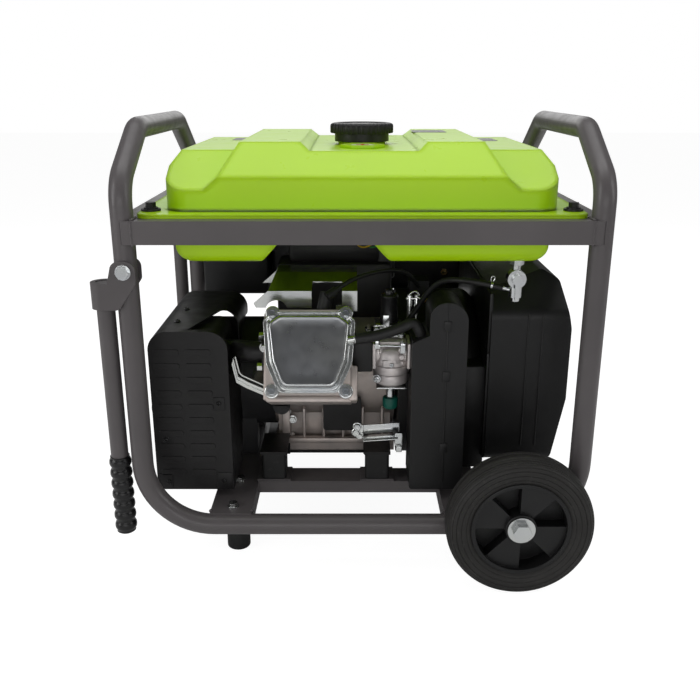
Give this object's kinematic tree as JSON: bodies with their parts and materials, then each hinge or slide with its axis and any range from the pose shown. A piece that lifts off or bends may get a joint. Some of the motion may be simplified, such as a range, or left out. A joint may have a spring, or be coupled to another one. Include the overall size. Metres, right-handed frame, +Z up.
{
  "type": "portable generator",
  "caption": "Open-frame portable generator: tube frame on wheels, bevelled fuel tank, inclined engine with alternator, folding handles and a control panel.",
  "frame": {"origin": "on the ground under the middle of the machine's overall box", "axes": "+X from the folding handles to the recoil starter, +Y from the engine side to the control panel, +Z up"},
  "size_m": [0.7366, 0.704, 0.689],
  "materials": {
    "frame_paint": "satin",
    "tank_paint": "gloss",
    "black_sheet": "satin",
    "zinc": "bright zinc plating",
    "cast_alloy": "as cast",
    "steel": "machined",
    "stator": "painted",
    "black_plastic": "fine grain",
    "gloss_black": "smooth",
    "rubber": "matt",
    "tyre_rubber": "matt",
    "brass": "plain"
  },
  "bodies": {
    "generator": {"frame_tubes": "frame_paint", "lift_arches": "frame_paint", "top_rails": "frame_paint", "floor_members": "frame_paint", "rubber_feet": "rubber", "frame_bolts": "zinc", "fuel_tank_upper": "tank_paint", "fuel_tank_lower": "tank_paint", "tank_bolts": "black_sheet", "fuel_gauge": "gloss_black", "fuel_valve": "zinc", "fuel_hose": "rubber", "engine_mounts": "rubber", "engine_cradle": "black_sheet", "crankcase": "cast_alloy", "engine_bolts": "zinc", "cylinder_head": "cast_alloy", "valve_cover": "zinc", "ignition_parts": "rubber", "spark_plug_lead": "rubber", "cylinder_shroud": "zinc", "fan_housing": "black_sheet", "recoil_housing": "black_sheet", "end_cover": "black_plastic", "alternator_housing": "stator", "muffler": "black_sheet", "muffler_shield": "black_sheet", "carburetor": "cast_alloy", "air_cleaner_base": "black_plastic", "air_cleaner_cover": "black_plastic", "breather_hose": "rubber", "control_panel": "black_sheet", "panel_sockets": "black_plastic", "voltmeter": "gloss_black", "earth_stud": "brass", "rocker_frames": "black_plastic"},
    "rear_wheel": {"rear_tyre": "tyre_rubber", "rear_wheel_hub": "black_plastic"},
    "front_wheel": {"front_tyre": "tyre_rubber", "front_wheel_hub": "black_plastic"},
    "rear_handle": {"rear_handle_bracket": "frame_paint", "rear_handle_bar": "frame_paint", "rear_handle_grip": "rubber"},
    "front_handle": {"front_handle_bracket": "frame_paint", "front_handle_bar": "frame_paint", "front_handle_grip": "rubber"},
    "cap_lift": {"cap_seal": "rubber"},
    "cap": {"fuel_cap": "black_plastic"},
    "tap_lever": {"fuel_valve_lever": "zinc"},
    "crank": {"crankshaft": "steel", "flywheel_fan": "steel"},
    "pull_grip": {"recoil_grip": "rubber"},
    "pulley": {"recoil_pulley": "black_plastic"},
    "dipstick": {"oil_dipstick": "black_plastic"},
    "choke": {"choke_lever": "zinc"},
    "governor": {"governor_arm": "zinc"},
    "switch": {"engine_switch": "gloss_black"},
    "breaker": {"main_breaker": "gloss_black"},
    "lid_1": {"socket_lid_1": "black_plastic"},
    "lid_2": {"socket_lid_2": "black_plastic"}
  },
  "joints": [
    {"name": "rear_wheel_spin", "type": "hinge", "parent": "generator", "child": "rear_wheel", "pos_m": [0.25335, -0.317, 0.11], "axis": [0, 1, 0], "continuous": true},
    {"name": "front_wheel_spin", "type": "hinge", "parent": "generator", "child": "front_wheel", "pos_m": [0.25335, 0.317, 0.11], "axis": [0, 1, 0], "continuous": true},
    {"name": "rear_handle_fold", "type": "hinge", "parent": "generator", "child": "rear_handle", "pos_m": [-0.31565, -0.267, 0.485], "axis": [0, 1, 0], "range_deg": [0, 90]},
    {"name": "front_handle_fold", "type": "hinge", "parent": "generator", "child": "front_handle", "pos_m": [-0.31565, 0.267, 0.485], "axis": [0, 1, 0], "range_deg": [0, 90]},
    {"name": "cap_lift_off", "type": "slide", "parent": "generator", "child": "cap_lift", "axis": [0, 0, 1], "range_m": [0, 0.06]},
    {"name": "cap_turn", "type": "hinge", "parent": "cap_lift", "child": "cap", "pos_m": [0.01985, -0.038, 0.668], "axis": [0, 0, 1], "range_deg": [0, 90]},
    {"name": "fuel_tap_turn", "type": "hinge", "parent": "generator", "child": "tap_lever", "pos_m": [0.25235, -0.206, 0.455], "axis": [0, 1, 0], "range_deg": [0, 90]},
    {"name": "crank_spin", "type": "hinge", "parent": "generator", "child": "crank", "pos_m": [0.01835, 0.023, 0.234], "axis": [1, 0, 0], "continuous": true},
    {"name": "recoil_pull", "type": "slide", "parent": "generator", "child": "pull_grip", "axis": [0, 1, 0], "range_m": [0, 0.18], "stiffness_N_per_m": 60, "springref_m": -0.05},
    {"name": "pulley_turn", "type": "hinge", "parent": "generator", "child": "pulley", "pos_m": [0.23835, 0.023, 0.234], "axis": [-1, 0, 0], "range_deg": [0, 172]},
    {"name": "dipstick_turn", "type": "hinge", "parent": "generator", "child": "dipstick", "pos_m": [-0.11765, -0.0784, 0.20405], "axis": [0, -0.9926, 0.1211], "range_deg": [0, 360]},
    {"name": "choke_turn", "type": "hinge", "parent": "generator", "child": "choke", "pos_m": [0.08135, -0.178, 0.358], "axis": [0, 0, 1], "range_deg": [0, 75]},
    {"name": "governor_turn", "type": "hinge", "parent": "generator", "child": "governor", "pos_m": [0.03435, -0.037, 0.326], "axis": [0, 0, 1], "range_deg": [-8, 8]},
    {"name": "switch_rock", "type": "hinge", "parent": "generator", "child": "switch", "pos_m": [0.00835, 0.281, 0.4], "axis": [1, 0, 0], "range_deg": [0, 10]},
    {"name": "breaker_rock", "type": "hinge", "parent": "generator", "child": "breaker", "pos_m": [0.06835, 0.281, 0.4], "axis": [1, 0, 0], "range_deg": [0, 10]},
    {"name": "lid_1_open", "type": "hinge", "parent": "generator", "child": "lid_1", "pos_m": [-0.18165, 0.291, 0.434], "axis": [1, 0, 0], "range_deg": [0, 110], "stiffness_Nm_per_rad": 0.02, "springref_deg": -22.92},
    {"name": "lid_2_open", "type": "hinge", "parent": "generator", "child": "lid_2", "pos_m": [-0.09165, 0.291, 0.434], "axis": [1, 0, 0], "range_deg": [0, 110], "stiffness_Nm_per_rad": 0.02, "springref_deg": -22.92}
  ],
  "couplings": [
    {"joint": "pulley_turn", "follows": "recoil_pull", "rad_per_m": 16.667}
  ]
}
